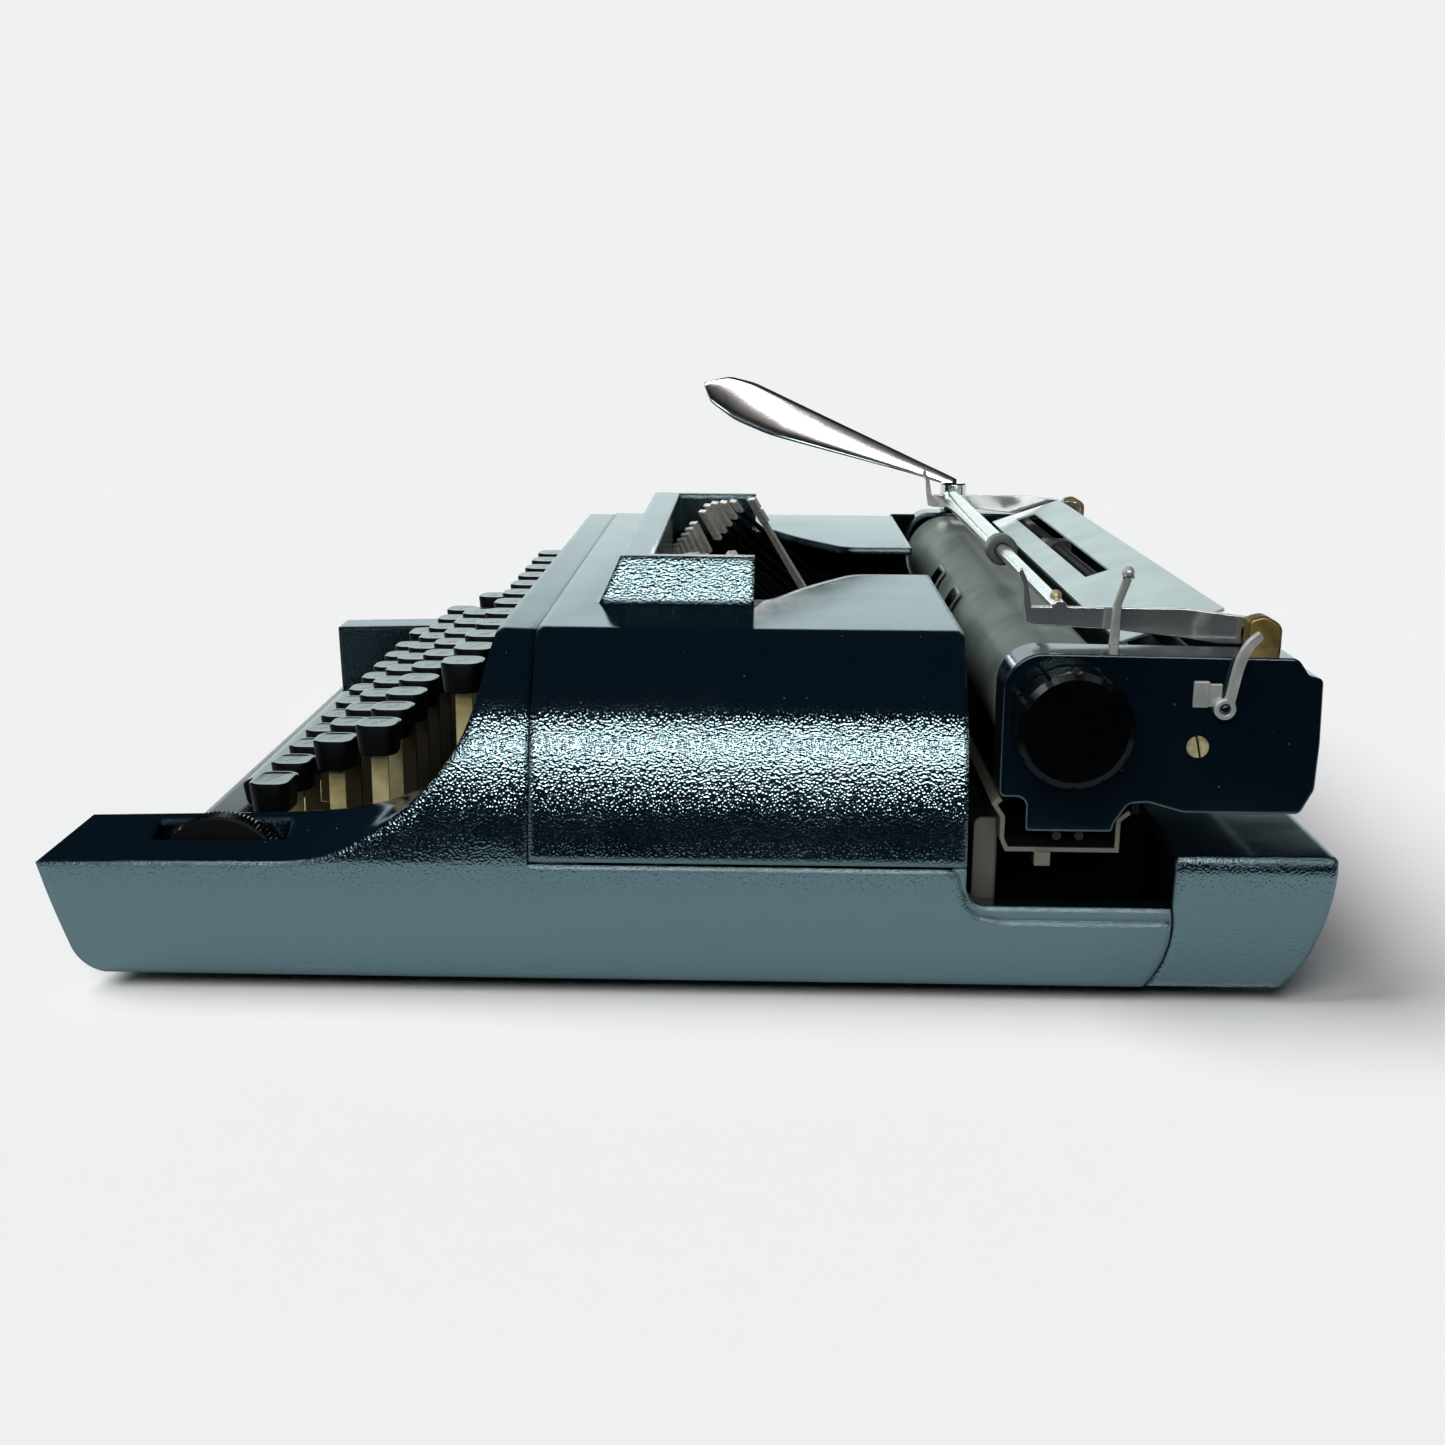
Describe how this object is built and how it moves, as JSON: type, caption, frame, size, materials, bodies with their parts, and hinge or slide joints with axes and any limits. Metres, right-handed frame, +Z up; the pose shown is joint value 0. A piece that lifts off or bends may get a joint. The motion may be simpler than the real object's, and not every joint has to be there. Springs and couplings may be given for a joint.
{
  "type": "portable typewriter",
  "caption": "Flat portable typewriter in black enamel: keyboard, hooded type basket, sliding carriage with platen, paper bail and chrome return lever.",
  "frame": {"origin": "on the table plane under the middle of the machine, at the bottom of the feet", "axes": "+X to the typist's right, +Y to the rear, +Z up"},
  "size_m": [0.326, 0.3206, 0.1416],
  "materials": {
    "black_paint": "fine-textured gloss black stove enamel",
    "pale_paint": "smooth pale grey enamel",
    "black_plastic": "polished black moulded plastic",
    "steel": "plain worked steel",
    "chrome": "bright plated steel",
    "rubber": "matte black rubber",
    "felt": "cream felt",
    "inked_cloth": "inked woven ribbon",
    "brass": "dull brass"
  },
  "bodies": {
    "machine": {"main_shell": "black_paint", "ribbon_cover": "black_paint", "rear_cover": "black_paint", "bottom_pan": "black_paint", "rubber_feet": "rubber", "side_frames": "steel", "carriage_rail": "steel", "key_rest_felt": "felt", "key_fulcrum_shaft": "steel", "type_segment": "steel", "typebars": "chrome", "ribbon_cups": "steel", "ribbon": "inked_cloth", "card_guides": "chrome", "escapement_bracket": "steel", "bell": "brass", "thumbwheel_bracket": "steel"},
    "carriage": {"carriage_frame": "steel", "carriage_back": "black_paint", "right_end_cover": "black_paint", "left_end_cover": "black_paint", "feed_roller_cradle": "steel", "paper_table": "pale_paint", "margin_rail": "steel", "bail_brackets": "brass", "escapement_rack": "steel"},
    "platen": {"platen": "rubber", "platen_shaft": "steel", "platen_knobs": "black_plastic", "line_space_ratchet": "steel"},
    "feed_rollers": {"feed_rollers": "rubber"},
    "return_lever": {"return_lever": "chrome"},
    "paper_bail": {"paper_bail": "chrome"},
    "bail_roller": {"bail_roller": "rubber"},
    "paper_release_lever": {"paper_release_lever": "chrome"},
    "carriage_release_lever": {"carriage_release_lever": "chrome"},
    "margin_stop_left": {"margin_stop_left": "steel"},
    "margin_stop_right": {"margin_stop_right": "steel"},
    "number_row": {"number_row_keytops": "black_plastic", "number_row_levers": "steel"},
    "upper_row": {"upper_row_keytops": "black_plastic", "upper_row_levers": "steel"},
    "home_row": {"home_row_keytops": "black_plastic", "home_row_levers": "steel"},
    "lower_row": {"lower_row_keytops": "black_plastic", "lower_row_levers": "steel"},
    "backspace": {"backspace_key": "black_plastic"},
    "shift_lock": {"shift_lock_key": "black_plastic"},
    "typed_key": {"typed_key": "black_plastic"},
    "raised_typebar": {"raised_typebar": "chrome"},
    "space_bar": {"space_bar": "black_plastic", "space_bar_frame": "steel"},
    "shift": {"shift_keytops": "black_plastic", "shift_frame": "steel"},
    "spool_left": {"ribbon_spool_left": "black_plastic"},
    "spool_right": {"ribbon_spool_right": "black_plastic"},
    "vibrator": {"ribbon_vibrator": "chrome"},
    "mainspring_drum": {"mainspring_drum": "steel"},
    "escapement_wheel": {"escapement_wheel": "steel"},
    "thumbwheel": {"thumbwheel": "black_plastic"}
  },
  "joints": [
    {"name": "carriage_travel", "type": "slide", "parent": "machine", "child": "carriage", "axis": [1, 0, 0], "range_m": [-0.1, 0.1]},
    {"name": "platen_turn", "type": "hinge", "parent": "carriage", "child": "platen", "pos_m": [0, 0.093, 0.0725], "axis": [1, 0, 0], "continuous": true},
    {"name": "feed_roller_turn", "type": "hinge", "parent": "carriage", "child": "feed_rollers", "pos_m": [0, 0.091, 0.0526], "axis": [1, 0, 0], "continuous": true},
    {"name": "return_lever_swing", "type": "hinge", "parent": "carriage", "child": "return_lever", "pos_m": [-0.147, 0.096, 0.095], "axis": [0, 0, 1], "range_deg": [0, 35], "stiffness_Nm_per_rad": 0.2, "springref_deg": -5.73},
    {"name": "bail_lift", "type": "hinge", "parent": "carriage", "child": "paper_bail", "pos_m": [0, 0.1405, 0.0915], "axis": [-1, 0, 0], "range_deg": [-3.8, 56]},
    {"name": "bail_roller_turn", "type": "hinge", "parent": "paper_bail", "child": "bail_roller", "pos_m": [0, 0.0927, 0.0967], "axis": [1, 0, 0], "continuous": true},
    {"name": "paper_release_pull", "type": "hinge", "parent": "carriage", "child": "paper_release_lever", "pos_m": [0.1376, 0.1053, 0.0795], "axis": [1, 0, 0], "range_deg": [0, 20]},
    {"name": "carriage_release_press", "type": "hinge", "parent": "carriage", "child": "carriage_release_lever", "pos_m": [0.1542, 0.1295, 0.0765], "axis": [1, 0, 0], "range_deg": [0, 12], "stiffness_Nm_per_rad": 0.02, "springref_deg": -5.73},
    {"name": "margin_left_set", "type": "slide", "parent": "carriage", "child": "margin_stop_left", "axis": [1, 0, 0], "range_m": [-0.05, 0.05]},
    {"name": "margin_right_set", "type": "slide", "parent": "carriage", "child": "margin_stop_right", "axis": [1, 0, 0], "range_m": [-0.05, 0.05]},
    {"name": "number_row_press", "type": "hinge", "parent": "machine", "child": "number_row", "pos_m": [0, 0.058, 0.0125], "axis": [1, 0, 0], "range_deg": [0, 3.2], "stiffness_Nm_per_rad": 1.2, "springref_deg": -11.46},
    {"name": "upper_row_press", "type": "hinge", "parent": "machine", "child": "upper_row", "pos_m": [0, 0.058, 0.0125], "axis": [1, 0, 0], "range_deg": [0, 3.2], "stiffness_Nm_per_rad": 1.2, "springref_deg": -11.46},
    {"name": "home_row_press", "type": "hinge", "parent": "machine", "child": "home_row", "pos_m": [0, 0.058, 0.0125], "axis": [1, 0, 0], "range_deg": [0, 3.2], "stiffness_Nm_per_rad": 1.2, "springref_deg": -11.46},
    {"name": "lower_row_press", "type": "hinge", "parent": "machine", "child": "lower_row", "pos_m": [0, 0.058, 0.0125], "axis": [1, 0, 0], "range_deg": [0, 3.2], "stiffness_Nm_per_rad": 1.2, "springref_deg": -11.46},
    {"name": "backspace_press", "type": "hinge", "parent": "machine", "child": "backspace", "pos_m": [0, 0.058, 0.0125], "axis": [1, 0, 0], "range_deg": [0, 3.2], "stiffness_Nm_per_rad": 0.2, "springref_deg": -8.59},
    {"name": "shift_lock_press", "type": "hinge", "parent": "machine", "child": "shift_lock", "pos_m": [0, 0.058, 0.0125], "axis": [1, 0, 0], "range_deg": [0, 3.2], "stiffness_Nm_per_rad": 0.2, "springref_deg": -8.59},
    {"name": "space_bar_press", "type": "hinge", "parent": "machine", "child": "space_bar", "pos_m": [0, 0.058, 0.0125], "axis": [1, 0, 0], "range_deg": [0, 3.2], "stiffness_Nm_per_rad": 0.8, "springref_deg": -8.59},
    {"name": "shift_press", "type": "hinge", "parent": "machine", "child": "shift", "pos_m": [0, 0.058, 0.0125], "axis": [1, 0, 0], "range_deg": [0, 3.2], "stiffness_Nm_per_rad": 0.8, "springref_deg": -8.59},
    {"name": "typed_key_press", "type": "hinge", "parent": "machine", "child": "typed_key", "pos_m": [0, 0.058, 0.0125], "axis": [1, 0, 0], "range_deg": [-1, 2.19], "stiffness_Nm_per_rad": 4},
    {"name": "typebar_strike", "type": "hinge", "parent": "machine", "child": "raised_typebar", "pos_m": [-0.0502, 0.0508, 0.04803], "axis": [-0.6745, 0.4745, 0.5655], "range_deg": [-28.1, 61.6]},
    {"name": "spool_left_turn", "type": "hinge", "parent": "machine", "child": "spool_left", "pos_m": [-0.102, 0.012, 0.064], "axis": [0, 0, 1], "continuous": true},
    {"name": "spool_right_turn", "type": "hinge", "parent": "machine", "child": "spool_right", "pos_m": [0.102, 0.012, 0.064], "axis": [0, 0, 1], "continuous": true},
    {"name": "vibrator_lift", "type": "slide", "parent": "machine", "child": "vibrator", "axis": [0, 0, 1], "range_m": [0, 0.008], "stiffness_N_per_m": 20, "springref_m": -0.004},
    {"name": "drum_turn", "type": "hinge", "parent": "machine", "child": "mainspring_drum", "pos_m": [-0.1, 0.138, 0.018], "axis": [0, 0, 1], "continuous": true},
    {"name": "escapement_turn", "type": "hinge", "parent": "machine", "child": "escapement_wheel", "pos_m": [0, 0.1146, 0.036], "axis": [0, 1, 0], "continuous": true},
    {"name": "thumbwheel_turn", "type": "hinge", "parent": "machine", "child": "thumbwheel", "pos_m": [0.1414, -0.1166, 0.0275], "axis": [1, 0, 0], "range_deg": [-60, 60]}
  ],
  "couplings": [
    {"joint": "feed_roller_turn", "follows": "platen_turn", "ratio": -4.4444},
    {"joint": "typebar_strike", "follows": "typed_key_press", "ratio": 28.125},
    {"joint": "spool_right_turn", "follows": "spool_left_turn", "ratio": 1},
    {"joint": "drum_turn", "follows": "carriage_travel", "rad_per_m": 71.429},
    {"joint": "escapement_turn", "follows": "carriage_travel", "rad_per_m": 120.48}
  ]
}
